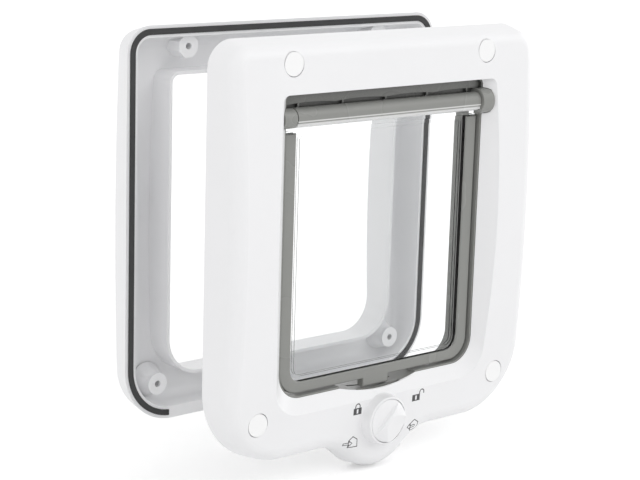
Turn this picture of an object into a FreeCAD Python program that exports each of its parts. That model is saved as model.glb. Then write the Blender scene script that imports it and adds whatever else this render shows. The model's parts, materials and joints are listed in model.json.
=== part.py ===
import FreeCAD
import Part
import math
import os

# Cat flap for a door: an indoor frame with a swinging clear flap and a four-way
# rotary lock, and the outdoor frame that stands behind it, one door thickness away.
# Millimetres. X runs to the right as seen from indoors, Y goes into the door, Z is up.
# The origin lies in the door's indoor face, at the centre of the screw pattern.

# Driving dimensions of the two frames
DOOR = 71.0
HALF_W = 112.8
TOP = 107.8
FRONT_BOTTOM = -120.5
REAR_SHORTER = 5.1
REAR_BOTTOM = FRONT_BOTTOM + REAR_SHORTER
CORNER_TOP = 15.0
FRONT_CORNER = 44.0
REAR_CORNER = 32.0
WALL = 2.4
DEPTH = 21.7
DOME_R = 975.0
FLAT_RISE = 25.5
FLAT_FROM = FRONT_BOTTOM + FLAT_RISE
BLEND_R = 150.0
EDGE_R = 8.0
SIDE_DRAFT = 0.25
FOOT_DRAFT = 0.115

# Screws that clamp the two frames to the door
TOP_INSET = (42.8, 12.8)
FOOT_INSET = (24.4, 25.5)
SCREW_HOLE_R = 2.25
PILOT_R = 1.9
PILOT_DEEP = 12.0
HEAD_R = 4.6
CAP_R = 6.3
CAP_T = 1.8
CAP_GAP = 0.35
BOSS_R = 8.2
REAR_BOSS_R = 6.3
BOSS_GAP = 0.5
REAR_BOSS_GAP = 3.15

# The way through the indoor frame: a splayed mouth, then a straight throat
OPEN_HALF = 72.0
OPEN_TOP = 79.3
SILL = 34.2
OPEN_BOTTOM = FRONT_BOTTOM + SILL
OPEN_CORNER = 15.0
OPEN_CORNER_TOP = 4.0
MOUTH_DEPTH = 8.55
SPLAY_SIDE = 1.01
SPLAY_FOOT = 2.15
SPLAY_CORNER = 22.0
LINER_T = 0.9
LINER_LIP = 0.9
SEAT_GAP = 0.3
LINER_BACK = 8.0
DIP_HALF = 28.3
DIP = 3.9
DIP_WALL = 0.7

# Hinge
HINGE_Y = -12.67
HINGE_Z = OPEN_TOP - 12.9
BARREL_R = 5.3
BUSH_R = 7.2
BUSH_SUNK = 3.5
HOUSING = 2.2
BUSH_T = 5.0
ROD_R = 1.5
RUN = 0.05
END_GAP = 0.4
HOOD_BEHIND = 1.8
HOOD_T = 1.2
HOOD_FOOT = 6.6
HOOD_WAVE = 0.9
HOOD_BAYS = 4
BACK_BEHIND = 3.6
SEAM_H = 0.45
SEAM_W = 1.0
SEAM_TURN = 40.0
RIB_T = 1.2
RIB_ROW = 52.0
RIB_HEAD = 35.0
RIB_SILL = 50.0

# Flap: a clear pane held on three sides by a grey frame with a locking tab
FLAP_GAP = 2.0
FLAP_FOOT_GAP = 1.9
FLAP_BEHIND_AXIS = 1.47
FLAP_T = 5.35
SIDE_BAR = 7.8
FOOT_BAR = 6.1
FLAP_CORNER = 13.0
PANE_CORNER = 8.0
PANE_T = 2.2
PANE_RIM_T = 3.4
PANE_RIM = 3.0
PANE_GRIP = 3.0
BAR_TOP = 8.6
HEAD_BEHIND = 0.5
HEAD_T = 2.4
HEAD_WEB = 2.1
TAB_HALF = 9.5
TAB_DROP = 4.8
MAGNET = (12.0, 2.6, 4.4)

# Lock: knob outside, drum with two flanges inside
LOCK_DROP = 21.2
LOCK_Z = OPEN_BOTTOM - LOCK_DROP
LOBE_R = 30.0
SCOOP_R = 28.0
MOUND_R = 13.7
MOUND_H = 6.8
MOUND_DRAFT = 0.13
MOUND_EDGE = 0.8
KNOB_R = 12.3
KNOB_SUNK = 1.6
KNOB_RIM = 1.3
KNOB_DOME = 1.0
KNOB_EDGE = 0.5
GRIP_H = 2.6
GRIP_SIDE = 4.0
GRIP_BOW = 37.5
GRIP_ROUND = 1.5
GRIP_ARCH = 22.0
GRIP_TURN = 45.0
STEM_R = 4.6
CATCH = 0.6
FLANGE_R = LOCK_DROP + CATCH
FLANGE_T = 1.6
FLANGE_GAP = 0.7
HUB_R = 8.0
DETENT_R = 1.1
LOCK_SCREW_R = 1.4
UNLOCKED = 90.0

# Outdoor frame
REAR_HALF = 82.4
REAR_TOP = 79.9
REAR_SILL = 25.2
REAR_FOOT = REAR_BOTTOM + REAR_SILL
REAR_OPEN_CORNER = 21.0
REAR_OPEN_CORNER_TOP = 4.5
LIP_T = 1.9
SEAL_EDGE = 1.9
SEAL_W = 3.3
SEAL_SEAT = 1.2
SEAL_PROUD = 0.6
SEAL_END = 83.0
RIM_W = 6.8
CHANNEL_W = 1.6
CHANNEL_DEPTH = 6.0

# Values that follow from the ones above
BIG = 400.0
PAST = 26.0
SLEEVE_Y = -DEPTH + MOUTH_DEPTH
FLAP_FRONT = HINGE_Y + FLAP_BEHIND_AXIS
FLAP_BACK = FLAP_FRONT + FLAP_T
FLAP_HALF = OPEN_HALF - FLAP_GAP
FLAP_FOOT = OPEN_BOTTOM + FLAP_FOOT_GAP
TAB_FOOT = FLAP_FOOT - TAB_DROP
SCREWS = {
    "top_left": (TOP_INSET[0] - HALF_W, TOP - TOP_INSET[1]),
    "top_right": (HALF_W - TOP_INSET[0], TOP - TOP_INSET[1]),
    "bottom_left": (FOOT_INSET[0] - HALF_W, FRONT_BOTTOM + FOOT_INSET[1]),
    "bottom_right": (HALF_W - FOOT_INSET[0], FRONT_BOTTOM + FOOT_INSET[1]),
}
BARREL_END = OPEN_HALF - BUSH_T - END_GAP


def at(x, y, z):
    return FreeCAD.Vector(x, y, z)


def line(a, b):
    return Part.makeLine(a, b)


def arc(a, middle, b):
    return Part.Arc(a, middle, b).toShape()


def around(cx, y, cz, radius, degrees):
    turn = math.radians(degrees)
    return at(cx + radius * math.cos(turn), y, cz + radius * math.sin(turn))


def corner(cx, y, cz, radius, start, end):
    middle = (start + end) / 2
    return arc(around(cx, y, cz, radius, start), around(cx, y, cz, radius, middle),
               around(cx, y, cz, radius, end))


def bar(x, y, z):
    """A box from three (low, high) pairs."""
    box = Part.makeBox(x[1] - x[0], y[1] - y[0], z[1] - z[0])
    box.translate(at(x[0], y[0], z[0]))
    return box


def disc(x, z, radius, y_from, y_to):
    return Part.makeCylinder(radius, y_to - y_from, at(x, y_from, z), at(0, 1, 0))


def rod(radius, x_from, x_to):
    return Part.makeCylinder(radius, x_to - x_from, at(x_from, HINGE_Y, HINGE_Z), at(1, 0, 0))


def prism(wire, depth):
    return Part.Face(wire).extrude(at(0, depth, 0))


def rounded(y, half, top, bottom, r_top, r_foot, lobe=None):
    """Outline in a plane of constant Y: two corner radii, and a lobe under the bottom edge."""
    right = [
        corner(half - r_top, y, top - r_top, r_top, 90, 0),
        line(at(half, y, top - r_top), at(half, y, bottom + r_foot)),
        corner(half - r_foot, y, bottom + r_foot, r_foot, 0, -90),
    ]
    left = [
        corner(-half + r_foot, y, bottom + r_foot, r_foot, -90, -180),
        line(at(-half, y, bottom + r_foot), at(-half, y, top - r_top)),
        corner(-half + r_top, y, top - r_top, r_top, 180, 90),
    ]
    if lobe:
        foot = lobe_edges(y, half - r_foot, bottom, lobe[0], lobe[1])
    else:
        foot = [line(at(half - r_foot, y, bottom), at(-half + r_foot, y, bottom))]
    head = [line(at(-half + r_top, y, top), at(half - r_top, y, top))]
    return Part.Wire(head + right + foot + left)


def lobe_edges(y, straight_end, bottom, lobe_r, scoop_r):
    """Bottom edge that sweeps down round the lock knob and back up."""
    rise = LOCK_Z - (bottom - scoop_r)
    scoop_x = math.sqrt((lobe_r + scoop_r) ** 2 - rise ** 2)
    lean = math.degrees(math.atan2(rise, -scoop_x))
    scoop_z = bottom - scoop_r
    return [
        line(at(straight_end, y, bottom), at(scoop_x, y, bottom)),
        corner(scoop_x, y, scoop_z, scoop_r, 90, lean),
        corner(0, y, LOCK_Z, lobe_r, lean - 180, -lean),
        corner(-scoop_x, y, scoop_z, scoop_r, 180 - lean, 90),
        line(at(-scoop_x, y, bottom), at(-straight_end, y, bottom)),
    ]


def face_y(z):
    """Y of the domed face at a height, before it turns flat round the lock."""
    return -DEPTH + DOME_R - math.sqrt(DOME_R ** 2 - z ** 2)


def face_block(inset, flat):
    """Everything behind the front face: a long dome that turns flat below the opening."""
    radius = DOME_R - inset
    centre = DOME_R - DEPTH
    high = 2 * TOP
    lean = math.asin(FLAT_FROM / DOME_R)

    def dome(angle):
        return at(-BIG, centre - radius * math.cos(angle), radius * math.sin(angle))

    top = dome(math.asin(high / DOME_R))
    if flat:
        blend = BLEND_R + inset
        low = dome(lean)
        hub = low + at(0, -blend * math.cos(lean), blend * math.sin(lean))
        halfway = hub + at(0, blend * math.cos(lean / 2), -blend * math.sin(lean / 2))
        level = hub + at(0, blend, 0)
        foot = at(-BIG, level.y, -high)
        edges = [arc(top, dome(lean / 4), low), arc(low, halfway, level), line(level, foot)]
    else:
        foot = dome(-math.asin(high / DOME_R))
        edges = [arc(top, dome(0.0), foot)]
    back_low = at(-BIG, BIG / 4, foot.z)
    back_high = at(-BIG, BIG / 4, top.z)
    edges += [line(foot, back_low), line(back_low, back_high), line(back_high, top)]
    return Part.Face(Part.Wire(edges)).extrude(at(2 * BIG, 0, 0))


def flat_y():
    """Y of the flat part of the face round the lock."""
    lean = math.asin(FLAT_FROM / DOME_R)
    return face_y(FLAT_FROM) + BLEND_R * (1 - math.cos(lean))


def pillow(inset, bottom, foot_corner, lobe, thick=0.0):
    """Tapered block under the domed face, with its front edge rounded over."""
    side = inset + thick
    round_lobe = (LOBE_R - side, SCOOP_R + side) if lobe else None
    rim = rounded(0, HALF_W - side, TOP - side, bottom + side,
                  max(CORNER_TOP - side, EDGE_R - inset + 1.5), foot_corner - side, round_lobe)
    lean = PAST * SIDE_DRAFT
    foot = PAST * FOOT_DRAFT
    far_lobe = (LOBE_R - side - foot, SCOOP_R + side + foot) if lobe else None
    far = rounded(-PAST, HALF_W - side - lean, TOP - side - lean, bottom + side + foot,
                  max(CORNER_TOP - side - lean, EDGE_R - inset + 0.4), foot_corner - side - lean, far_lobe)
    block = Part.makeLoft([rim, far], True, True).common(face_block(inset, lobe))
    seams = [seam_z(inset, k) for k in (0, 1)] if lobe else []
    front = []
    for edge in block.Edges:
        if max(v.Point.y for v in edge.Vertexes) > -WALL * 2:
            continue
        middle = edge.BoundBox.Center
        if abs(middle.x) < 0.01 and any(abs(middle.z - z) < 0.2 for z in seams):
            continue
        front.append(edge)
    return block.makeFillet(EDGE_R - inset, front)


def seam_z(inset, which):
    """Heights where the dome meets the blend, and the blend meets the flat."""
    if which == 0:
        return (DOME_R - inset) * FLAT_FROM / DOME_R
    return FLAT_FROM * (DOME_R - inset) / DOME_R + (BLEND_R + inset) * FLAT_FROM / DOME_R


def dip(grow, y_from, y_to):
    """Shallow dip in the sill, where the flap's tab swings through."""
    rise = DIP_HALF * 2
    low = OPEN_BOTTOM - DIP
    ends = DIP_HALF + grow * 3
    edge = [
        arc(at(-ends, y_from, OPEN_BOTTOM - grow), at(0, y_from, low - grow),
            at(ends, y_from, OPEN_BOTTOM - grow)),
        line(at(ends, y_from, OPEN_BOTTOM - grow), at(ends, y_from, OPEN_BOTTOM + rise)),
        line(at(ends, y_from, OPEN_BOTTOM + rise), at(-ends, y_from, OPEN_BOTTOM + rise)),
        line(at(-ends, y_from, OPEN_BOTTOM + rise), at(-ends, y_from, OPEN_BOTTOM - grow)),
    ]
    return prism(Part.Wire(edge), y_to - y_from)


def throat_wire(y, grow):
    return rounded(y, OPEN_HALF + grow, OPEN_TOP + grow, OPEN_BOTTOM - grow,
                   OPEN_CORNER_TOP + grow, OPEN_CORNER + grow)


def mouth(grow):
    """Splayed mouth, from the sleeve out through the domed face."""
    run = PAST + SLEEVE_Y
    side = run * SPLAY_SIDE
    foot = run * SPLAY_FOOT
    far = rounded(-PAST, OPEN_HALF + side + grow, OPEN_TOP + grow, OPEN_BOTTOM - foot - grow,
                  OPEN_CORNER_TOP + grow, SPLAY_CORNER + grow)
    return Part.makeLoft([throat_wire(SLEEVE_Y, grow), far], True, True)


def sleeve(grow, y_from, y_to):
    """Straight throat behind the mouth, with the dip in its floor."""
    straight = prism(throat_wire(y_from, grow), y_to - y_from)
    return straight.fuse(dip(grow + DIP_WALL, y_from, y_to)).removeSplitter()


def throat(y_from, y_to):
    """The open way through the liner."""
    straight = prism(throat_wire(y_from, -LINER_LIP), y_to - y_from)
    return straight.fuse(dip(0, y_from, y_to))


def slots():
    """Slots through the sill for the two flanges of the lock drum."""
    half = math.sqrt(FLANGE_R ** 2 - (OPEN_BOTTOM - DIP - LOCK_Z) ** 2) + 3
    cut = []
    for y_from, y_to in flange_planes():
        cut.append(bar((-half, half), (y_from - SEAT_GAP, y_to + SEAT_GAP),
                       (OPEN_BOTTOM - DIP - 3 * WALL, OPEN_BOTTOM + 1)))
    return cut[0].fuse(cut[1])


def flange_planes():
    """Y spans of the lock flanges, just in front of and just behind the flap's tab."""
    return [(FLAP_FRONT - FLANGE_GAP - FLANGE_T, FLAP_FRONT - FLANGE_GAP),
            (FLAP_BACK + FLANGE_GAP, FLAP_BACK + FLANGE_GAP + FLANGE_T)]


def front_ribs(collar, wall_y):
    """Stiffening ribs between the collar and the outer wall."""
    across = HALF_W - WALL
    ribs = []
    for z in (-RIB_ROW, 0, RIB_ROW):
        for side in (-1, 1):
            x = sorted((side * collar, side * across))
            ribs.append(bar(x, (-DEPTH, wall_y), (z - RIB_T / 2, z + RIB_T / 2)))
    for x in (-RIB_HEAD, 0, RIB_HEAD):
        ribs.append(bar((x - RIB_T / 2, x + RIB_T / 2), (-DEPTH, wall_y),
                        (OPEN_TOP + LINER_T, TOP - WALL)))
    for side in (-1, 1):
        x = side * RIB_SILL
        ribs.append(bar((x - RIB_T / 2, x + RIB_T / 2), (-DEPTH, wall_y),
                        (FRONT_BOTTOM + WALL, OPEN_BOTTOM - LINER_T)))
    return ribs


def detent_post():
    """Slotted post that grips the end of the detent spring."""
    x = -FLANGE_R - 7
    z = LOCK_Z - HUB_R - RUN * 3
    planes = flange_planes()
    post = bar((x - 3, x + 3), (flat_y() + WALL / 2, planes[1][0]), (z - 3.6, z + 2.4))
    slit = bar((x - 4, x + 4), (planes[0][1] + 0.9, planes[1][0] + 1), (z - 0.5, z))
    return post, slit


def front_frame():
    """White indoor moulding: a hollow pillow with a collar round the way through."""
    outer = pillow(0, FRONT_BOTTOM, FRONT_CORNER, True)
    hollow = pillow(WALL, FRONT_BOTTOM, FRONT_CORNER, True)
    pocket = LINER_T + SEAT_GAP
    thick = pocket + WALL
    block = mouth(WALL * 1.3).fuse(sleeve(thick, SLEEVE_Y - WALL, 0)).common(outer)
    shell = outer.cut(hollow).fuse(block)
    extra = front_ribs(OPEN_HALF + thick - 0.5, -3.5)
    for x, z in SCREWS.values():
        extra.append(disc(x, z, BOSS_R, -DEPTH, -BOSS_GAP))
    for side in (-1, 1):
        ends = sorted((side * OPEN_HALF, side * (OPEN_HALF + BUSH_SUNK + HOUSING)))
        extra.append(rod(bush_r(side) + HOUSING, ends[0], ends[1]))
    post, slit = detent_post()
    inside = extra[0].multiFuse(extra[1:] + [post]).common(outer)
    shell = shell.fuse(inside).cut(mouth(0)).fuse(mound())
    cuts = [sleeve(pocket, SLEEVE_Y, 1), dip(0, SLEEVE_Y - 6, SLEEVE_Y + 1), slots(), slit]
    planes = flange_planes()
    cuts.append(disc(0, LOCK_Z, FLANGE_R + 0.8, planes[0][0] - SEAT_GAP, planes[1][1] + SEAT_GAP))
    cuts.append(disc(0, LOCK_Z, STEM_R + RUN, -BIG / 10, 0))
    cuts.append(disc(0, LOCK_Z, KNOB_R + SEAT_GAP, -BIG / 10, seat_y()))
    cuts.append(disc(0, LOCK_Z, MOUND_R - WALL, seat_y() + WALL, planes[0][0]))
    for side in (-1, 1):
        ends = sorted((side * (OPEN_HALF - 1), side * (OPEN_HALF + BUSH_SUNK + SEAT_GAP)))
        cuts.append(rod(bush_r(side) + SEAT_GAP, ends[0], ends[1]))
    for x, z in SCREWS.values():
        face = face_y(z)
        cuts.append(disc(x, z, CAP_R + CAP_GAP, face - 3, face + CAP_T + 0.2))
        cuts.append(disc(x, z, HEAD_R, face, face + CAP_T + 4))
        cuts.append(disc(x, z, SCREW_HOLE_R, face, 1))
    keep = detent_keep(post, slit)
    for cut in cuts:
        shell = shell.cut(cut)
    return shell.fuse(keep).removeSplitter()


def seat_y():
    """Y of the ledge, sunk in the mound, that the knob turns on."""
    return flat_y() - MOUND_H + KNOB_SUNK


def mound():
    """Round mound that carries the knob, as high as the thickest part of the frame."""
    high = MOUND_H + WALL / 2
    body = Part.makeCone(MOUND_R + MOUND_DRAFT * high, MOUND_R, high,
                         at(0, flat_y() + WALL / 2, LOCK_Z), at(0, -1, 0))
    rim = [e for e in body.Edges if e.BoundBox.YMax < flat_y() and e.Length > MOUND_R]
    rim = [e for e in rim if e.BoundBox.YLength < 0.01]
    return body.makeFillet(MOUND_EDGE, rim)


def detent_keep(post, slit):
    planes = flange_planes()
    inner = disc(0, LOCK_Z, FLANGE_R + 0.8, -BIG / 10, BIG / 10)
    low = bar((-BIG, BIG), (planes[0][0], BIG), (-BIG, BIG))
    return post.cut(slit).cut(inner).common(low)


def screw_cap(x, z):
    """Shallow domed cap that hides a screw head."""
    face = face_y(z)
    cap = disc(x, z, CAP_R, face - 0.15, face + CAP_T)
    rim = [e for e in cap.Edges if e.BoundBox.YMax < face and e.Length > CAP_R]
    return cap.makeFillet(0.25, rim)


def bush_r(side):
    """The left bush is as thick as the barrel, the right one is a wider collar."""
    return BARREL_R if side < 0 else BUSH_R


def hood():
    """Strip behind the top of the barrel with a wavy foot, and the trough wall behind it."""
    roof = OPEN_TOP
    front = HINGE_Y + HOOD_BEHIND
    back = HINGE_Y + BACK_BEHIND
    low = HINGE_Z + HOOD_FOOT
    half = OPEN_HALF - LINER_LIP / 2
    bay = 2 * half / HOOD_BAYS
    edges = [line(at(-half, front, low), at(-half, front, roof)),
             line(at(-half, front, roof), at(half, front, roof)),
             line(at(half, front, roof), at(half, front, low))]
    for k in range(HOOD_BAYS):
        right = half - k * bay
        edges.append(arc(at(right, front, low), at(right - bay / 2, front, low + HOOD_WAVE),
                         at(right - bay, front, low)))
    strip = prism(Part.Wire(edges), HOOD_T)
    pieces = [bar((-half, half), (back, back + HOOD_T), (HINGE_Z, roof))]
    for k in range(HOOD_BAYS + 1):
        x = (k - HOOD_BAYS / 2) * (2 * half - 20) / HOOD_BAYS
        pieces.append(bar((x - RIB_T / 2, x + RIB_T / 2), (front, back + 0.2),
                          (HINGE_Z, roof)))
    whole = strip.multiFuse(pieces)
    return whole.cut(rod(BARREL_R + END_GAP, -half, half))


def liner():
    """Grey sleeve that lines the way through, with the hood, the sill dip and its slots."""
    y_from = SLEEVE_Y + SEAT_GAP
    skin = sleeve(LINER_T, y_from, LINER_BACK)
    body = skin.cut(throat(y_from - 1, LINER_BACK + 1)).fuse(hood().common(skin))
    for side in (-1, 1):
        ends = sorted((side * (OPEN_HALF - BUSH_T), side * (OPEN_HALF + BUSH_SUNK)))
        body = body.cut(rod(bush_r(side), ends[0], ends[1]))
    under = sill_under()
    planes = flange_planes()
    gap = (planes[0][1] + SEAT_GAP + 0.5, planes[1][0] - SEAT_GAP - 0.5)
    half = MAGNET[0] / 2
    for x in ((-half - 1.2, -half), (half, half + 1.2)):
        body = body.fuse(bar(x, gap, (under - MAGNET[1], under + LINER_T / 2)))
    return body.cut(slots()).removeSplitter()


def sill_under():
    return OPEN_BOTTOM - DIP - LINER_T - DIP_WALL


def bush(side):
    """Bearing bush, sunk in the side wall, that holds one end of the hinge rod."""
    radius = bush_r(side)
    x = sorted((side * (OPEN_HALF - BUSH_T), side * (OPEN_HALF + BUSH_SUNK)))
    bore = sorted((side * (OPEN_HALF - BUSH_T - 1), side * OPEN_HALF))
    ring = rod(radius, x[0], x[1]).cut(rod(ROD_R, bore[0], bore[1]))
    inner = min(x, key=abs)
    rim = [e for e in ring.Edges
           if abs(e.BoundBox.Center.x - inner) < 0.01 and e.Length > radius * 5]
    return ring.makeFillet(0.5, rim)


def hinge_rod():
    return rod(ROD_R, -OPEN_HALF, OPEN_HALF)


def barrel():
    """Barrel that turns on the rod, with a raised seam, slotted for the pane's tongue."""
    body = rod(BARREL_R, -BARREL_END, BARREL_END)
    seam = bar((-BARREL_END, BARREL_END), (HINGE_Y - BARREL_R - SEAM_H, HINGE_Y),
               (HINGE_Z - SEAM_W / 2, HINGE_Z + SEAM_W / 2))
    seam.rotate(at(0, HINGE_Y, HINGE_Z), at(1, 0, 0), SEAM_TURN)
    body = body.fuse(seam)
    return body.cut(rod(ROD_R + RUN, -BIG, BIG)).cut(pane_tongue()).removeSplitter()


def pane_middle():
    return (FLAP_FRONT + FLAP_BACK) / 2


def pane_tongue():
    """Tongue of the pane, clamped in the barrel's slot."""
    front = HINGE_Y + HEAD_BEHIND
    return bar((-BARREL_END, BARREL_END), (front, front + HEAD_T),
               (HINGE_Z - BARREL_R - SEAT_GAP, HINGE_Z - ROD_R - HEAD_BEHIND))


def pane_web():
    """Web that steps the pane back from its tongue."""
    top = HINGE_Z - BARREL_R - SEAT_GAP
    return bar((-BARREL_END, BARREL_END),
               (HINGE_Y + HEAD_BEHIND, pane_middle() + PANE_RIM_T / 2), (top - HEAD_WEB, top))


def flap_inner(y, grow):
    half = FLAP_HALF - SIDE_BAR + grow
    return rounded(y, half, HINGE_Z, FLAP_FOOT + FOOT_BAR - grow, 2.0, PANE_CORNER + grow)


def frame_top():
    """Height where the grey bars of the flap frame end, below the clear head."""
    return HINGE_Z - BAR_TOP


def pane():
    """Clear pane with a thicker rim where it meets its frame and its hinge."""
    middle = pane_middle()
    thin = middle - PANE_T / 2
    thick = middle - PANE_RIM_T / 2
    head = HINGE_Z - BUSH_R - SEAT_GAP
    body = prism(flap_inner(thin, PANE_GRIP), PANE_T)
    rim = prism(flap_inner(thick, 0), PANE_RIM_T)
    window = rounded(thick - 1, FLAP_HALF - SIDE_BAR - PANE_RIM, head - PANE_RIM,
                     FLAP_FOOT + FOOT_BAR + PANE_RIM, 2.0, PANE_CORNER - PANE_RIM)
    rim = rim.cut(prism(window, PANE_RIM_T + 2))
    keep = bar((-BIG, BIG), (-BIG, BIG), (-BIG, head))
    post = bar((-FLAP_HALF + 0.5, FLAP_HALF - 0.5), (thick, thick + PANE_RIM_T),
               (frame_top(), head))
    body = body.fuse(rim).common(keep).fuse(post).fuse(pane_web()).fuse(pane_tongue())
    return body.removeSplitter()


def flap_frame():
    """Grey U-shaped frame round the pane, with the tab that the lock catches."""
    wire = rounded(FLAP_FRONT, FLAP_HALF, HINGE_Z, FLAP_FOOT, 2.0, FLAP_CORNER)
    body = prism(wire, FLAP_T)
    tab = bar((-TAB_HALF, TAB_HALF), (FLAP_FRONT, FLAP_BACK), (TAB_FOOT, FLAP_FOOT + 1))
    body = body.fuse(tab).removeSplitter()
    body = body.common(bar((-BIG, BIG), (-BIG, BIG), (-BIG, frame_top())))
    body = body.cut(prism(flap_inner(FLAP_FRONT - 1, 0), FLAP_T + 2))
    soft = [e for e in body.Edges
            if max(v.Point.y for v in e.Vertexes) < FLAP_FRONT + 0.01
            or min(v.Point.y for v in e.Vertexes) > FLAP_BACK - 0.01]
    body = body.makeFillet(0.9, soft)
    middle = pane_middle()
    groove = prism(flap_inner(middle - PANE_T / 2, PANE_GRIP), PANE_T)
    return body.cut(groove).cut(flap_magnet())


def flap_magnet():
    """Magnet let into the back of the tab."""
    half = MAGNET[0] / 2
    return bar((-half, half), (FLAP_BACK - MAGNET[1], FLAP_BACK),
               (TAB_FOOT + 1.4, TAB_FOOT + 1.4 + MAGNET[2]))


def sill_magnet():
    """Magnet under the sill, between the slots, that draws the tab to rest."""
    half = MAGNET[0] / 2
    middle = pane_middle()
    under = sill_under()
    return bar((-half, half), (middle - MAGNET[2] / 2, middle + MAGNET[2] / 2),
               (under - MAGNET[1], under))


def sector(radius, centre_deg, y_from, y_to):
    """Quarter of a disc about the lock axis, centred on a direction clockwise from up."""
    wedge = Part.makeCylinder(radius, y_to - y_from, at(0, y_from, LOCK_Z), at(0, 1, 0), 90)
    reach = wedge.CenterOfMass - at(0, 0, LOCK_Z)
    now = math.degrees(math.atan2(reach.x, reach.z))
    wedge.rotate(at(0, 0, LOCK_Z), at(0, 1, 0), centre_deg - now)
    return wedge


def drum():
    """Drum behind the knob: two flanges that stand up before and behind the tab."""
    planes = flange_planes()
    body = disc(0, LOCK_Z, HUB_R, planes[0][0], planes[1][1])
    turns = [(0, 180), (0, 90)]
    for (y_from, y_to), where in zip(planes, turns):
        body = body.fuse(disc(0, LOCK_Z, HUB_R + 2, y_from, y_to))
        for degrees in where:
            body = body.fuse(sector(FLANGE_R, degrees, y_from, y_to))
    for k in range(4):
        x = HUB_R * math.sin(k * math.pi / 2)
        z = LOCK_Z + HUB_R * math.cos(k * math.pi / 2)
        body = body.cut(disc(x, z, DETENT_R, planes[0][1], planes[1][0]))
    return body.cut(stem(planes[0][0] - 1, planes[1][1] + 1)).removeSplitter()


def stem(y_from, y_to):
    """Knob's stem, flattened on one side so that the drum turns with it."""
    round_part = disc(0, LOCK_Z, STEM_R, y_from, y_to)
    return round_part.cut(bar((STEM_R - 1, STEM_R + 1), (y_from, y_to),
                              (LOCK_Z - STEM_R, LOCK_Z + STEM_R)))


def grip(crown, foot):
    """Finger grip: a bowed step, steep on one side, that slopes away to the knob's rim."""
    crest = crown - GRIP_H
    steep = -GRIP_SIDE + GRIP_ROUND / 3
    turn = GRIP_ROUND * (1 - math.sqrt(0.5))
    profile = Part.Wire([
        line(at(-GRIP_SIDE, foot, LOCK_Z), at(steep, crest + GRIP_ROUND, LOCK_Z)),
        arc(at(steep, crest + GRIP_ROUND, LOCK_Z), at(steep + turn, crest + turn, LOCK_Z),
            at(steep + GRIP_ROUND, crest, LOCK_Z)),
        line(at(steep + GRIP_ROUND, crest, LOCK_Z), at(KNOB_R, foot, LOCK_Z)),
        line(at(KNOB_R, foot, LOCK_Z), at(-GRIP_SIDE, foot, LOCK_Z)),
    ])
    hub = at(GRIP_BOW - GRIP_SIDE, 0, LOCK_Z)
    face = Part.Face(profile)
    face.rotate(hub, at(0, 1, 0), -GRIP_TURN)
    body = face.revolve(hub, at(0, 1, 0), 2 * GRIP_TURN)
    arch = Part.makeCylinder(GRIP_ARCH, 2 * KNOB_R, at(-KNOB_R, crest + GRIP_ARCH, LOCK_Z),
                             at(1, 0, 0))
    inside = disc(0, LOCK_Z, KNOB_R - KNOB_EDGE, crest - 1, foot + 1)
    return body.common(arch).common(inside)


def knob():
    """Turning knob: a low domed disc in the mound, with a grip and a stem behind it."""
    base = seat_y() - SEAT_GAP
    planes = flange_planes()
    crown = base - KNOB_RIM - KNOB_DOME
    sphere_r = (KNOB_R ** 2 + KNOB_DOME ** 2) / (2 * KNOB_DOME)
    plate = disc(0, LOCK_Z, KNOB_R, crown, base)
    plate = plate.common(Part.makeSphere(sphere_r, at(0, crown + sphere_r, LOCK_Z)))
    rim = [e for e in plate.Edges
           if e.Length > KNOB_R and abs(e.BoundBox.YMax - base + KNOB_RIM) < 0.01]
    plate = plate.makeFillet(KNOB_EDGE, rim)
    lever = grip(crown, base - KNOB_RIM)
    lever.rotate(at(0, 0, LOCK_Z), at(0, 1, 0), -GRIP_TURN)
    shaft = disc(0, LOCK_Z, STEM_R, base, planes[0][0]).fuse(stem(planes[0][0], planes[1][1]))
    body = plate.fuse(lever).fuse(shaft)
    return body.cut(disc(0, LOCK_Z, LOCK_SCREW_R, planes[0][0], planes[1][1])).removeSplitter()


def unlocked(shape):
    """Turns a piece of the lock from the locked position to the open one."""
    turned = shape.copy()
    turned.rotate(at(0, 0, LOCK_Z), at(0, 1, 0), UNLOCKED)
    return turned


def lock_washer():
    back = flange_planes()[1][1]
    ring = disc(0, LOCK_Z, HUB_R - 1, back, back + 0.6)
    return ring.cut(disc(0, LOCK_Z, LOCK_SCREW_R, back - 1, back + 1))


def lock_screw():
    """Pan-head screw with a cross recess that holds the drum on the stem."""
    back = flange_planes()[1][1]
    shank = disc(0, LOCK_Z, LOCK_SCREW_R, flange_planes()[0][0], back + 0.6)
    head = disc(0, LOCK_Z, 2.7, back + 0.6, back + 2.2)
    rim = [e for e in head.Edges if e.BoundBox.YMin > back + 2]
    head = head.makeFillet(0.7, rim)
    body = shank.fuse(head)
    for size in ((3.2, 0.8), (0.8, 3.2)):
        body = body.cut(bar((-size[0] / 2, size[0] / 2), (back + 1.2, back + 3),
                            (LOCK_Z - size[1] / 2, LOCK_Z + size[1] / 2)))
    return body.removeSplitter()


def detent_spring():
    """Leaf spring under the drum, whose raised end clicks into the four notches."""
    planes = flange_planes()
    high = LOCK_Z - HUB_R - RUN * 3
    y = (planes[0][1] + 0.9, planes[1][0] - 0.3)
    leaf = bar((-FLANGE_R - 10, HUB_R), y, (high - 0.5, high))
    bump = disc(0, high - 1.2, DETENT_R + 0.1, y[0], y[1])
    hollow = disc(0, high - 1.2, DETENT_R - 0.4, y[0] - 1, y[1] + 1)
    leaf = leaf.fuse(bump.common(bar((-3, 3), y, (high - 1.2, high))))
    leaf = leaf.cut(hollow)
    return leaf.removeSplitter()


def rear_wire(y, grow, top_grow=0.0):
    return rounded(y, REAR_HALF + grow, REAR_TOP + grow, REAR_FOOT - grow,
                   REAR_OPEN_CORNER_TOP + grow + top_grow, REAR_OPEN_CORNER + grow)


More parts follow.
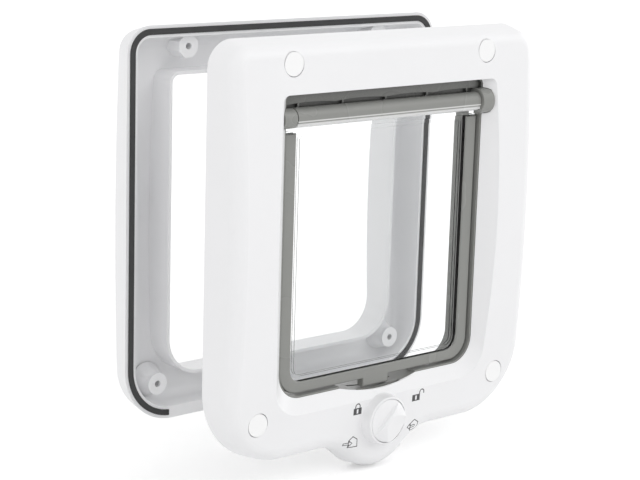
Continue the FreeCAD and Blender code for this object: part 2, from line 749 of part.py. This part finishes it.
def seal_band(inset, y_from, y_to, width):
    """Band along the rim, open at the middle of the bottom edge."""
    band = []
    for edge in (inset, inset + width):
        wire = rounded(y_from, HALF_W - edge, TOP - edge, REAR_BOTTOM + edge,
                       CORNER_TOP - edge, REAR_CORNER - edge)
        band.append(prism(wire, y_to - y_from))
    gap = bar((-SEAL_END, SEAL_END), (y_from - 1, y_to + 1), (REAR_BOTTOM - 5, REAR_FOOT + 2))
    return band[0].cut(band[1]).cut(gap)


def boss_top():
    return -REAR_BOSS_GAP


def rear_bosses():
    """Screw bosses: eight-sided at the top, round on a flared foot at the bottom."""
    made = []
    for name, (x, z) in SCREWS.items():
        if name.startswith("top"):
            ring = [around(x, -DEPTH, z, REAR_BOSS_R / math.cos(math.pi / 8), 22.5 + 45 * k)
                    for k in range(9)]
            made.append(prism(Part.makePolygon(ring), DEPTH + boss_top()))
        else:
            made.append(disc(x, z, REAR_BOSS_R, -DEPTH, boss_top()))
            made.append(Part.makeCone(REAR_BOSS_R * 1.6, REAR_BOSS_R, 9.0,
                                      at(x, face_y(z) + WALL, z), at(0, 1, 0)))
    return made


def to_rear(shape):
    turned = shape.mirror(at(0, 0, 0), at(0, 1, 0))
    turned.translate(at(0, DOOR, 0))
    return turned


def rear_frame():
    """White outdoor moulding, made like the indoor one and turned to face outwards."""
    outer = pillow(0, REAR_BOTTOM, REAR_CORNER, False)
    hollow = pillow(WALL, REAR_BOTTOM, REAR_CORNER, False, RIM_W - WALL)
    body = outer.cut(hollow)
    lip = prism(rear_wire(-DEPTH - 1, LIP_T), DEPTH + 0.5)
    extra = lip.multiFuse(rear_bosses()).common(outer)
    body = body.fuse(extra)
    body = body.cut(prism(rear_wire(-DEPTH - 2, 0), DEPTH + 3))
    body = body.cut(seal_band(SEAL_EDGE, -SEAL_SEAT, 1, SEAL_W))
    slack = (SEAL_W - CHANNEL_W) / 2
    body = body.cut(seal_band(SEAL_EDGE + slack, -CHANNEL_DEPTH, 1, CHANNEL_W))
    for x, z in SCREWS.values():
        body = body.cut(disc(x, z, PILOT_R, boss_top() - PILOT_DEEP, 1))
    return to_rear(body.removeSplitter())


def rear_seal():
    """Black foam strip on the outdoor frame's rim, an upside-down U."""
    return to_rear(seal_band(SEAL_EDGE, -SEAL_SEAT, SEAL_PROUD, SEAL_W))


def build():
    nodes = {
        "front_frame": front_frame(),
        "liner": liner(),
        "hinge_bush_left": bush(-1),
        "hinge_bush_right": bush(1),
        "hinge_rod": hinge_rod(),
        "hinge_barrel": barrel(),
        "flap_pane": pane(),
        "flap_frame": flap_frame(),
        "flap_magnet": flap_magnet(),
        "sill_magnet": sill_magnet(),
        "lock_knob": unlocked(knob()),
        "lock_drum": unlocked(drum()),
        "lock_washer": lock_washer(),
        "lock_screw": unlocked(lock_screw()),
        "detent_spring": detent_spring(),
        "rear_frame": rear_frame(),
        "rear_seal": rear_seal(),
    }
    for name, (x, z) in SCREWS.items():
        nodes["screw_cap_" + name] = screw_cap(x, z)
    return nodes


os.makedirs("parts", exist_ok=True)
for node, shape in build().items():
    if not shape.isValid() or not shape.Solids:
        raise RuntimeError(node + " did not make a sound solid")
    print(node, len(shape.Solids), round(shape.Volume), "mm3")
    shape.exportStep("parts/" + node + ".step")
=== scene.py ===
# %% [markdown]
# # A cat flap with a turning lock
# The flap is two white moulded frames that clamp a door between them. The indoor frame holds
# a clear flap on a hinge and a knob that locks it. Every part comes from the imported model, in
# metres, so this lesson dresses the parts that are there and adds what is only printed on them.

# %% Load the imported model
import json
import math

import bmesh
import bpy
from mathutils import Matrix, Vector
from mathutils.bvhtree import BVHTree


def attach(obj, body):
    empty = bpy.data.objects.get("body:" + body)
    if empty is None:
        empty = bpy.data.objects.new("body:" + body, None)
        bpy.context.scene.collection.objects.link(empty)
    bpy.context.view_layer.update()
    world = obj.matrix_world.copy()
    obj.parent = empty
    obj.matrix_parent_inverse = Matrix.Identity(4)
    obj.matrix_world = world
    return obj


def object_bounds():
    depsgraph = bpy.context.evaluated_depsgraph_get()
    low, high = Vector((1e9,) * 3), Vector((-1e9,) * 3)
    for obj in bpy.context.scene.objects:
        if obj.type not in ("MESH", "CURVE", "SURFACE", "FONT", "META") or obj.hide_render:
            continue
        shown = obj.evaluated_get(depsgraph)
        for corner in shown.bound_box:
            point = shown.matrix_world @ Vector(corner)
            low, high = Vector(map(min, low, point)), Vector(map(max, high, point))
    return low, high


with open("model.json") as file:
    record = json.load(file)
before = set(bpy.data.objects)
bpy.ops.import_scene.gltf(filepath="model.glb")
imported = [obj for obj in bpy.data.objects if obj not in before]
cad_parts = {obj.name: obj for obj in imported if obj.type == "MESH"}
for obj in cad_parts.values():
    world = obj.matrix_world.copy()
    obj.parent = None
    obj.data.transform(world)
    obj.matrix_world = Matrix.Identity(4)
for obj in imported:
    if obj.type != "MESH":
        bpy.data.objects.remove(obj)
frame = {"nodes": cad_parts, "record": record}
cad_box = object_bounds()
nodes = frame["nodes"]
print("parts in the model:", len(nodes))

# %% [markdown]
# Moulded plastic is never one flat colour. Its tone drifts a little over a few centimetres,
# and a fine spark-eroded grain breaks up the shine. Every plastic here shares that, so it is
# built once as a node group with named sockets, and each plastic sets its own amounts. The
# group reads Object coordinates, which are metres, so the grain has its real size.

# %% A shared group for moulded surfaces
MM = 0.001


def group_socket(group, name, kind, value=None, way="INPUT"):
    socket = group.interface.new_socket(name=name, in_out=way, socket_type=kind)
    if value is not None:
        socket.default_value = value


def noise(tree, coords, size_mm, detail):
    """A noise whose features are about size_mm across."""
    node = tree.nodes.new("ShaderNodeTexNoise")
    node.inputs["Scale"].default_value = 1 / (size_mm * MM)
    node.inputs["Detail"].default_value = detail
    tree.links.new(coords, node.inputs["Vector"])
    return node.outputs["Fac"]


def spread(tree, value, centre, swing):
    """Turns a 0 to 1 noise into centre plus or minus swing, with both as sockets."""
    shift = tree.nodes.new("ShaderNodeMath")
    shift.operation = "SUBTRACT"
    shift.inputs[1].default_value = 0.5
    tree.links.new(value, shift.inputs[0])
    scale = tree.nodes.new("ShaderNodeMath")
    scale.operation = "MULTIPLY_ADD"
    tree.links.new(shift.outputs[0], scale.inputs[0])
    tree.links.new(swing, scale.inputs[1])
    tree.links.new(centre, scale.inputs[2])
    return scale.outputs[0]


def moulded_group():
    group = bpy.data.node_groups.new("Moulded Surface", "ShaderNodeTree")
    group_socket(group, "Colour", "NodeSocketColor", (0.8, 0.8, 0.8, 1))
    group_socket(group, "Tone Swing", "NodeSocketFloat", 0.04)
    group_socket(group, "Roughness", "NodeSocketFloat", 0.4)
    group_socket(group, "Roughness Swing", "NodeSocketFloat", 0.1)
    group_socket(group, "Grain", "NodeSocketFloat", 1.0)
    group_socket(group, "Colour", "NodeSocketColor", way="OUTPUT")
    group_socket(group, "Roughness", "NodeSocketFloat", way="OUTPUT")
    group_socket(group, "Height", "NodeSocketFloat", way="OUTPUT")
    into = group.nodes.new("NodeGroupInput")
    out = group.nodes.new("NodeGroupOutput")
    place = group.nodes.new("ShaderNodeTexCoord").outputs["Object"]
    drift = noise(group, place, 35, 2)
    grain = noise(group, place, 0.35, 3)
    one = group.nodes.new("ShaderNodeValue")
    one.outputs[0].default_value = 1.0
    tone = spread(group, drift, one.outputs[0], into.outputs["Tone Swing"])
    tint = group.nodes.new("ShaderNodeVectorMath")
    tint.operation = "SCALE"
    group.links.new(into.outputs["Colour"], tint.inputs[0])
    group.links.new(tone, tint.inputs["Scale"])
    group.links.new(tint.outputs[0], out.inputs["Colour"])
    rough = spread(group, drift, into.outputs["Roughness"], into.outputs["Roughness Swing"])
    group.links.new(rough, out.inputs["Roughness"])
    height = group.nodes.new("ShaderNodeMath")
    height.operation = "MULTIPLY"
    group.links.new(grain, height.inputs[0])
    group.links.new(into.outputs["Grain"], height.inputs[1])
    group.links.new(height.outputs[0], out.inputs["Height"])
    return group


MOULDED = moulded_group()
print("group sockets:", [item.name for item in MOULDED.interface.items_tree])

# %% [markdown]
# Each finish is a Principled shader fed by that group. The white frames are satin ABS, the
# hinge and the flap's frame are mid grey, and the seal is a closed-cell foam with pores. The
# barrel and the sleeve get greys of their own: the barrel's carries a painted highlight and a
# painted reflection, and the sleeve's a painted shade.

# %% Plastics and foam
def finish(name, colour, rough, grain=1.0, tone=0.03, swing=0.08, bump_mm=0.01, **fixed):
    """A material on the moulded group; fixed holds sockets that are the same all over."""
    material = bpy.data.materials.new(name)
    material.use_nodes = True
    tree = material.node_tree
    shader = tree.nodes["Principled BSDF"]
    surface = tree.nodes.new("ShaderNodeGroup")
    surface.node_tree = MOULDED
    surface.inputs["Colour"].default_value = (*colour, 1)
    surface.inputs["Tone Swing"].default_value = tone
    surface.inputs["Roughness"].default_value = rough
    surface.inputs["Roughness Swing"].default_value = swing
    surface.inputs["Grain"].default_value = grain
    bump = tree.nodes.new("ShaderNodeBump")
    bump.inputs["Distance"].default_value = bump_mm * MM
    bump.inputs["Strength"].default_value = 0.5
    tree.links.new(surface.outputs["Height"], bump.inputs["Height"])
    tree.links.new(surface.outputs["Colour"], shader.inputs["Base Color"])
    tree.links.new(surface.outputs["Roughness"], shader.inputs["Roughness"])
    tree.links.new(bump.outputs["Normal"], shader.inputs["Normal"])
    for socket, value in fixed.items():
        shader.inputs[socket.replace("_", " ")].default_value = value
    return material


WHITE = finish("white satin plastic", (0.885, 0.885, 0.895), 0.34)
CAP = finish("white cap plastic", (0.945, 0.945, 0.945), 0.3)
# The second grey gets a painted seam highlight and reflection, the third a painted shade.
GREY, SEAM_HIGHLIGHT_GREY, SHADED_SLEEVE_GREY = (
    finish(name, (0.26, 0.263, 0.249), 0.27, tone=0.06)
    for name in ("grey satin plastic", "grey plastic with a painted seam highlight", "grey sleeve plastic with painted shade"))
FOAM = finish("black seal foam", (0.055, 0.055, 0.056), 0.85, grain=2.0, tone=0.5, bump_mm=0.2)
STEEL = finish("plated steel", (0.62, 0.62, 0.6), 0.3, tone=0.08, Metallic=1.0)
MAGNET = finish("bare magnet", (0.2, 0.2, 0.21), 0.45, tone=0.15, Metallic=1.0)
INK = finish("dark grey print", (0.07, 0.07, 0.072), 0.55, tone=0.1)
print("finishes:", [m.name for m in bpy.data.materials if m.use_nodes])

# %% [markdown]
# Marks on a finish, which here are painted shade and painted highlights, are groups too. Each
# takes the colour so far and gives it back changed, so it can be put between a material's last
# colour and its shader. The masks are ramps: a value that grows from one distance to another
# becomes a share from 0 to 1.

# %% Helpers for marks
def insert_group(material, group):
    """Puts a colour group between a material's last colour and its shader."""
    tree = material.node_tree
    target = tree.nodes["Principled BSDF"].inputs["Base Color"]
    source = target.links[0].from_socket
    node = tree.nodes.new("ShaderNodeGroup")
    node.node_tree = group
    tree.links.new(source, node.inputs["Colour"])
    tree.links.new(node.outputs["Colour"], target)
    return node


def ramp(tree, value, start, end):
    """A share that is 0 where value is start and 1 where it is end."""
    node = tree.nodes.new("ShaderNodeMapRange")
    node.inputs["From Min"].default_value = start
    node.inputs["From Max"].default_value = end
    tree.links.new(value, node.inputs["Value"])
    return node


def paint(tree, share, base, colour):
    """Blends a fixed colour over a base colour by a share."""
    node = tree.nodes.new("ShaderNodeMix")
    node.data_type = "RGBA"
    node.inputs["B"].default_value = colour
    tree.links.new(share, node.inputs["Factor"])
    tree.links.new(base, node.inputs["A"])
    return node.outputs["Result"]


joints = {joint["name"]: joint for joint in frame["record"]["behaviour"]["joints"]}
HINGE_AXIS = joints["flap_swing"]["pos_m"]
print("hinge axis at", HINGE_AXIS)

# %% [markdown]
# Painted shade darkens the trough above the barrel, where little of the room's light reaches. An
# Ambient Occlusion node finds that place from the shape alone, so the mask is the same from
# every side. A height keeps the painted shade above the hinge, and the rest of the grey sleeve
# is left plain.

# %% Painted shade in the trough
SHADE_REACH = 14
SHUT_IN, OPEN_AIR = 0.25, 0.8
SHADE_FADE = 2


# Painted shade: scales the colour down where the shape shuts in the trough above the hinge.
def painted_shade_group(above):
    group = bpy.data.node_groups.new("Trough Painted Shade", "ShaderNodeTree")
    group_socket(group, "Colour", "NodeSocketColor", (0.3, 0.3, 0.3, 1))
    group_socket(group, "Darkest", "NodeSocketFloat", 0.3)
    group_socket(group, "Colour", "NodeSocketColor", way="OUTPUT")
    into = group.nodes.new("NodeGroupInput")
    out = group.nodes.new("NodeGroupOutput")
    open_sky = group.nodes.new("ShaderNodeAmbientOcclusion")
    open_sky.samples = 6
    open_sky.inputs["Distance"].default_value = SHADE_REACH * MM
    shade = ramp(group, open_sky.outputs["AO"], SHUT_IN, OPEN_AIR)
    group.links.new(into.outputs["Darkest"], shade.inputs["To Min"])
    place = group.nodes.new("ShaderNodeTexCoord").outputs["Object"]
    split = group.nodes.new("ShaderNodeSeparateXYZ")
    group.links.new(place, split.inputs[0])
    height = ramp(group, split.outputs["Z"], above, above + SHADE_FADE * MM)
    keep = group.nodes.new("ShaderNodeMix")
    keep.inputs["A"].default_value = 1.0
    group.links.new(height.outputs["Result"], keep.inputs["Factor"])
    group.links.new(shade.outputs["Result"], keep.inputs["B"])
    tint = group.nodes.new("ShaderNodeVectorMath")
    tint.operation = "SCALE"
    group.links.new(into.outputs["Colour"], tint.inputs[0])
    group.links.new(keep.outputs["Result"], tint.inputs["Scale"])
    group.links.new(tint.outputs[0], out.inputs["Colour"])
    return group


# Painted shade on the sleeve's colour in the trough above the hinge.
insert_group(SHADED_SLEEVE_GREY, painted_shade_group(HINGE_AXIS[2])).inputs["Darkest"].default_value = 0.22
print("painted shade on", SHADED_SLEEVE_GREY.name, "above", round(HINGE_AXIS[2], 4))

# %% [markdown]
# A pale line along the barrel's front is partly its seam and partly a painted highlight, and the
# paler strip below it is a painted reflection of the bright floor. The plane that holds the
# hinge axis and leans down to the front marks that line. The distance from the plane gives one
# mask for the line and one for the strip below it.

# %% A painted highlight on the barrel's seam
SEAM_BELOW = math.radians(16.5)
SEAM_HALF = 0.22
SEAM_SOFT = 0.3
SEAM_HIGHLIGHT_COLOUR = (0.7, 0.7, 0.69, 1)
REFLECTION_FROM, REFLECTION_FULL = -0.8, -1.6
REFLECTION_COLOUR = (0.8, 0.8, 0.8, 1)
FRONT_FADE = 1.0


# Painted highlight along the seam, and a painted reflection of the floor in the strip below it.
def seam_highlight_group(axis):
    group = bpy.data.node_groups.new("Barrel Seam Highlight", "ShaderNodeTree")
    group_socket(group, "Colour", "NodeSocketColor", (0.3, 0.3, 0.3, 1))
    group_socket(group, "Colour", "NodeSocketColor", way="OUTPUT")
    into = group.nodes.new("NodeGroupInput")
    out = group.nodes.new("NodeGroupOutput")
    place = group.nodes.new("ShaderNodeTexCoord").outputs["Object"]
    from_axis = group.nodes.new("ShaderNodeVectorMath")
    from_axis.operation = "SUBTRACT"
    from_axis.inputs[1].default_value = axis
    group.links.new(place, from_axis.inputs[0])
    # How far a point lies off the seam's plane, and how far to the front along it.
    apart, ahead = (group.nodes.new("ShaderNodeVectorMath") for _ in range(2))
    down, front = math.sin(SEAM_BELOW), math.cos(SEAM_BELOW)
    for node, way in ((apart, (0, -down, front)), (ahead, (0, -front, -down))):
        node.operation = "DOT_PRODUCT"
        node.inputs[1].default_value = way
        group.links.new(from_axis.outputs[0], node.inputs[0])
    facing = ramp(group, ahead.outputs["Value"], 0, FRONT_FADE * MM)
    size = group.nodes.new("ShaderNodeMath")
    size.operation = "ABSOLUTE"
    group.links.new(apart.outputs["Value"], size.inputs[0])
    colour = into.outputs["Colour"]
    # The first share paints the reflection strip, the second the highlight on the seam.
    for value, start, end, paler in (
            (apart.outputs["Value"], REFLECTION_FROM, REFLECTION_FULL, REFLECTION_COLOUR),
            (size.outputs[0], SEAM_HALF + SEAM_SOFT, SEAM_HALF, SEAM_HIGHLIGHT_COLOUR)):
        share = ramp(group, value, start * MM, end * MM)
        group.links.new(facing.outputs["Result"], share.inputs["To Max"])
        colour = paint(group, share.outputs["Result"], colour, paler)
    group.links.new(colour, out.inputs["Colour"])
    return group


# Painted highlight and painted reflection on the barrel's grey.
insert_group(SEAM_HIGHLIGHT_GREY, seam_highlight_group(HINGE_AXIS))
print("painted seam highlight and reflection on", SEAM_HIGHLIGHT_GREY.name)

# %% [markdown]
# The pane is clear plastic about two millimetres thick, and a real solid here. With the real
# index of refraction, light that enters at an edge runs on inside the sheet, and the renderer
# gives it up as black after a dozen turns. A lower index lets it out again, so edges stay clear.

# %% Clear pane
CLEAR_INDEX = 1.22
CLEAR = finish("clear plastic", (0.97, 0.98, 0.98), 0.03, tone=0.0, swing=0.02, bump_mm=0.0,
               Transmission_Weight=1.0, IOR=CLEAR_INDEX)
print("pane index of refraction", round(CLEAR_INDEX, 2))

# %% [markdown]
# The imported record says which of six kinds of material each part is. That table does most of
# the dressing. A few parts then get a finish of their own in the same slot: the screw caps are
# a little whiter than the frames, the barrel has its painted highlight and painted reflection,
# and the sleeve its painted shade.

# %% Dressing the parts
FINISHES = {
    "white_plastic": WHITE,
    "grey_plastic": GREY,
    "clear_plastic": CLEAR,
    "seal_foam": FOAM,
    "steel": STEEL,
    "magnet": MAGNET,
}
for part in frame["record"]["subparts"]:
    for place in nodes[part["node"]].material_slots:
        place.material = FINISHES[part["material_slot"]]
OWN_FINISH = {name: CAP for name in nodes if name.startswith("screw_cap")}
# The barrel's finish carries a painted highlight and reflection, the sleeve's a painted shade.
OWN_FINISH.update(hinge_barrel=SEAM_HIGHLIGHT_GREY, liner=SHADED_SLEEVE_GREY)
for name, own in OWN_FINISH.items():
    nodes[name].material_slots[0].material = own

# %% [markdown]
# Four signs are printed round the knob: locked, open, out only and in only. Each starts as a
# flat shape drawn with a few vertices, and cut with an inset where it is hollow. The face
# behind it is curved, so the shape is then cut into strips and laid on that face.

# %% Drawing flat signs
LOCK_AXIS = Vector((0, 0, joints["lock_turn"]["pos_m"][2] / MM))
ARCH_STEPS = 12


def flat_face(sheet, points):
    """A face in the XZ plane from corners in millimetres."""
    corners = [sheet.verts.new((x, 0, z)) for x, z in points]
    return sheet.faces.new(corners)


def inset(sheet, face, stroke):
    """Shrinks a face and leaves a border of new faces round it."""
    sheet.normal_update()
    bmesh.ops.inset_region(sheet, faces=[face], thickness=stroke, use_even_offset=True,
                           use_boundary=True)


def outline(sheet, points, stroke):
    """Only the border of a closed shape, stroke wide."""
    face = flat_face(sheet, points)
    inset(sheet, face, stroke)
    bmesh.ops.delete(sheet, geom=[face], context="FACES_ONLY")


def slab(x, z, wide, high):
    """Corners of a rectangle about x and z."""
    return [(x - wide / 2, z - high / 2), (x + wide / 2, z - high / 2),
            (x + wide / 2, z + high / 2), (x - wide / 2, z + high / 2)]


def arch(x, z, radius, leg):
    """Corners of an upside-down U whose feet stand on z."""
    points = [(x - radius, z)]
    for step in range(ARCH_STEPS + 1):
        turn = math.pi * (1 - step / ARCH_STEPS)
        points.append((x + radius * math.cos(turn), z + leg + radius * math.sin(turn)))
    return points + [(x + radius, z)]


print("signs lie on the face round the lock at", tuple(LOCK_AXIS))

# %% [markdown]
# The padlock's body is a rectangle. It is inset for its border, and the face left in the
# middle is scaled to the keyhole and taken out. The shackle is an arch whose feet are cut off
# level with the body. On the open lock it stands to one side, with one foot over the body.

# %% A padlock, shut or open
BODY = (5.8, 3.8)
KEYHOLE = (1.3, 2.5)
SHACKLE_R = 1.9
SHACKLE_LEG = 0.9
STROKE = 0.6
TOUCH = 1e-5


def padlock(sheet, is_open):
    """A padlock about the sheet's middle."""
    wide, high = BODY
    body = flat_face(sheet, slab(0, 0, wide, high))
    inset(sheet, body, STROKE)
    keyhole = (KEYHOLE[0] / (wide - 2 * STROKE), 1, KEYHOLE[1] / (high - 2 * STROKE))
    bmesh.ops.scale(sheet, vec=keyhole, verts=body.verts)
    bmesh.ops.delete(sheet, geom=[body], context="FACES_ONLY")
    before = set(sheet.verts)
    across = wide / 2 + SHACKLE_R - STROKE if is_open else 0
    outline(sheet, arch(across, high / 2 - STROKE, SHACKLE_R, SHACKLE_LEG + STROKE), STROKE)
    shackle = [v for v in sheet.verts if v not in before]
    edges = [e for e in sheet.edges if e.verts[0] not in before]
    faces = [f for f in sheet.faces if f.verts[0] not in before]
    bmesh.ops.bisect_plane(sheet, geom=[*shackle, *edges, *faces], dist=TOUCH,
                           plane_co=(0, 0, high / 2), plane_no=(0, 0, 1), clear_inner=True)


print("padlock body", BODY, "mm")

# %% [markdown]
# The other two signs are a house with an arrow through its wall. The arrow is a thin closed
# outline. One points in and the other points out.

# %% A house with an arrow
HOUSE = [(-3.3, -2.6), (3.3, -2.6), (3.3, 1.9), (0, 4.0), (-3.3, 1.9)]
ARROW = [(0, -0.8), (3.9, -0.8), (3.9, -2.0), (6.4, 0), (3.9, 2.0), (3.9, 0.8), (0, 0.8)]
ARROW_IN = -6.7
ARROW_OUT = 0.6
HOUSE_STROKE = 0.45
ARROW_STROKE = 0.4


def house(sheet, leaving):
    """A house about the sheet's middle, with an arrow through its left wall."""
    outline(sheet, HOUSE, HOUSE_STROKE)
    if leaving:
        points = [(ARROW_OUT - x, z) for x, z in reversed(ARROW)]
    else:
        points = [(ARROW_IN + x, z) for x, z in ARROW]
    outline(sheet, points, ARROW_STROKE)


print("house has", len(HOUSE), "corners and its arrow", len(ARROW))

# %% [markdown]
# Print follows the plastic that carries it. A ray from in front of each vertex finds the
# moulding, and the vertex is set down there. A second layer a few hundredths of a millimetre
# further out gives the ink its thickness.

# %% Laying a sign on the moulding
BASE = nodes["front_frame"]
FACE = BVHTree.FromObject(BASE, bpy.context.evaluated_depsgraph_get())
INK_HEIGHT = 0.04
IN_FRONT = -60
STRIP = 1.0
SIGN_REACH = 8


def strips(sheet):
    """Cuts the sheet along both directions, so that it can bend."""
    steps = int(SIGN_REACH / STRIP)
    for normal in ((1, 0, 0), (0, 0, 1)):
        for k in range(-steps, steps + 1):
            place = [k * STRIP * n for n in normal]
            everything = [*sheet.verts, *sheet.edges, *sheet.faces]
            bmesh.ops.bisect_plane(sheet, geom=everything, dist=TOUCH, plane_co=place,
                                   plane_no=normal)


def set_down(sheet, lift):
    """Moves each vertex along Y onto the front frame, lift millimetres proud of it."""
    for vert in sheet.verts:
        start = Vector((vert.co.x, IN_FRONT, vert.co.z)) * MM
        hit = FACE.ray_cast(start, Vector((0, 1, 0)))[0]
        vert.co.y = hit.y / MM - lift


def print_sign(name, draw, choice, x, z):
    """Draws a sign, lays it beside the knob and gives it its thickness."""
    sheet = bmesh.new()
    draw(sheet, choice)
    strips(sheet)
    bmesh.ops.translate(sheet, vec=LOCK_AXIS + Vector((x, 0, z)), verts=sheet.verts)
    set_down(sheet, INK_HEIGHT / 4)
    sheet.normal_update()
    for face in sheet.faces:
        if face.normal.y > 0:
            face.normal_flip()
    grown = bmesh.ops.extrude_face_region(sheet, geom=sheet.faces[:])
    raised = [v for v in grown["geom"] if isinstance(v, bmesh.types.BMVert)]
    bmesh.ops.translate(sheet, vec=(0, -INK_HEIGHT, 0), verts=raised)
    bmesh.ops.recalc_face_normals(sheet, faces=sheet.faces)
    bmesh.ops.scale(sheet, vec=(MM, MM, MM), verts=sheet.verts)
    mesh = bpy.data.meshes.new(name)
    sheet.to_mesh(mesh)
    sheet.free()
    piece = bpy.data.objects.new(name, mesh)
    bpy.context.scene.collection.objects.link(piece)
    mesh.materials.append(INK)
    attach(piece, "root")
    return piece


print("front frame has", len(BASE.data.polygons), "faces to lie on")

# %% [markdown]
# The signs stand where the knob's grip points in its four turns. Each line has the piece's
# name, how it is drawn, which of its two forms it takes, and its place beside the lock's axis.

# %% Where the signs stand
SIGNS = [
    ("sign_locked", padlock, False, -17.7, 7.1),
    ("sign_open", padlock, True, 26.6, 7.15),
    ("sign_in_only", house, False, -20.2, -10.9),
    ("sign_out_only", house, True, 26.4, -9.6),
]
for name, draw, choice, x, z in SIGNS:
    piece = print_sign(name, draw, choice, x, z)
    print(name, len(piece.data.polygons), "faces")

# %% [markdown]
# The part stands on a plain white floor, a hair below its lowest point. The floor is lit as
# the part is, so it keeps a faint shadow.

# %% Floor
FLOOR_DROP = 0.0004
FLOOR_HALF = 6
low = cad_box[0][2] - FLOOR_DROP
floor_mesh = bpy.data.meshes.new("floor")
sheet = bmesh.new()
bmesh.ops.create_grid(sheet, x_segments=1, y_segments=1, size=FLOOR_HALF)
bmesh.ops.translate(sheet, vec=(0, 0, low), verts=sheet.verts)
sheet.to_mesh(floor_mesh)
sheet.free()
floor = bpy.data.objects.new("floor", floor_mesh)
bpy.context.scene.collection.objects.link(floor)
print("floor at", round(low, 4))

# %% [markdown]
# A studio's paper looks white in the picture, but it mustn't throw extra light on the part.
# So its glow is switched on only for rays that the camera sees directly, in a reflection or
# through the pane. The same switch makes the sky white behind the part.

# %% White paper
def seen_directly(tree):
    """One for rays from the eye, or that reach it by a reflection or through the pane."""
    path = tree.nodes.new("ShaderNodeLightPath")
    total = path.outputs["Is Camera Ray"]
    for other in ("Is Glossy Ray", "Is Transmission Ray"):
        more = tree.nodes.new("ShaderNodeMath")
        more.operation = "MAXIMUM"
        tree.links.new(total, more.inputs[0])
        tree.links.new(path.outputs[other], more.inputs[1])
        total = more.outputs[0]
    return total


FLOOR_LIFT = 0.28
paper = bpy.data.materials.new("studio floor")
paper.use_nodes = True
tree = paper.node_tree
shader = tree.nodes["Principled BSDF"]
shader.inputs["Base Color"].default_value = (0.9, 0.9, 0.9, 1)
shader.inputs["Roughness"].default_value = 0.9
shader.inputs["Emission Color"].default_value = (1, 1, 1, 1)
lift = tree.nodes.new("ShaderNodeMath")
lift.operation = "MULTIPLY"
lift.inputs[1].default_value = FLOOR_LIFT
tree.links.new(seen_directly(tree), lift.inputs[0])
tree.links.new(lift.outputs[0], shader.inputs["Emission Strength"])
floor_mesh.materials.append(paper)
print("paper lifted by", FLOOR_LIFT)

# %% [markdown]
# Most of the light is the even sky. Wide sun lamps act as large softboxes: one from the upper
# right shades the knob's step, one from the side reaches between the frames, and one from the
# left opens the shadows. They stay low, so the white plastic keeps its shading.

# %% Sky and lamps
SKY = 0.81
world = bpy.data.worlds.new("studio")
bpy.context.scene.world = world
world.use_nodes = True
tree = world.node_tree
sky = tree.nodes["Background"]
sky.inputs["Color"].default_value = (1, 1, 1, 1)
strength = tree.nodes.new("ShaderNodeMapRange")
strength.inputs["To Min"].default_value = SKY
strength.inputs["To Max"].default_value = 1.0
tree.links.new(seen_directly(tree), strength.inputs["Value"])
tree.links.new(strength.outputs["Result"], sky.inputs["Strength"])


def sun(name, towards, strength, spread_deg):
    """A wide sun lamp that shines along a direction."""
    lamp = bpy.data.lights.new(name, "SUN")
    lamp.energy = strength
    lamp.angle = math.radians(spread_deg)
    body = bpy.data.objects.new(name, lamp)
    body.rotation_euler = Vector(towards).to_track_quat("-Z", "Y").to_euler()
    bpy.context.scene.collection.objects.link(body)
    return body


sun("key", (-0.45, 0.75, -0.7), 0.36, 40)
sun("fill", (0.75, 0.35, -0.3), 0.36, 80)
sun("side", (-0.9, 0.15, -0.25), 0.5, 40)
print("sky at", SKY, "and lamps", [lamp.name for lamp in bpy.data.lights])

# %% [markdown]
# The camera stands where the photograph was taken from. Its place and lens were worked out
# from the four screw caps and the frame's outline, and are kept here as plain numbers.

# %% Camera
EYE = Vector((-656.5, -724.35, 205.0)) * MM
AZIMUTH, ELEVATION, ROLL = (math.radians(a) for a in (-40.65, 12.37, 1.73))
LENS = 101.33

back = Vector((math.sin(AZIMUTH) * math.cos(ELEVATION),
               -math.cos(AZIMUTH) * math.cos(ELEVATION), math.sin(ELEVATION)))
right = (-back).cross(Vector((0, 0, 1))).normalized()
up = right.cross(-back)
tilted_right = math.cos(ROLL) * right + math.sin(ROLL) * up
tilted_up = math.cos(ROLL) * up - math.sin(ROLL) * right
lens = bpy.data.cameras.new("camera")
lens.lens = LENS
lens.sensor_width = 36.0
lens.sensor_fit = "HORIZONTAL"
camera = bpy.data.objects.new("camera", lens)
camera.matrix_world = Matrix.Translation(EYE) @ Matrix(
    (tilted_right, tilted_up, back)).transposed().to_4x4()
bpy.context.scene.collection.objects.link(camera)
bpy.context.scene.camera = camera
bpy.context.scene.view_settings.view_transform = "Standard"
print("camera at", tuple(round(v, 3) for v in EYE))
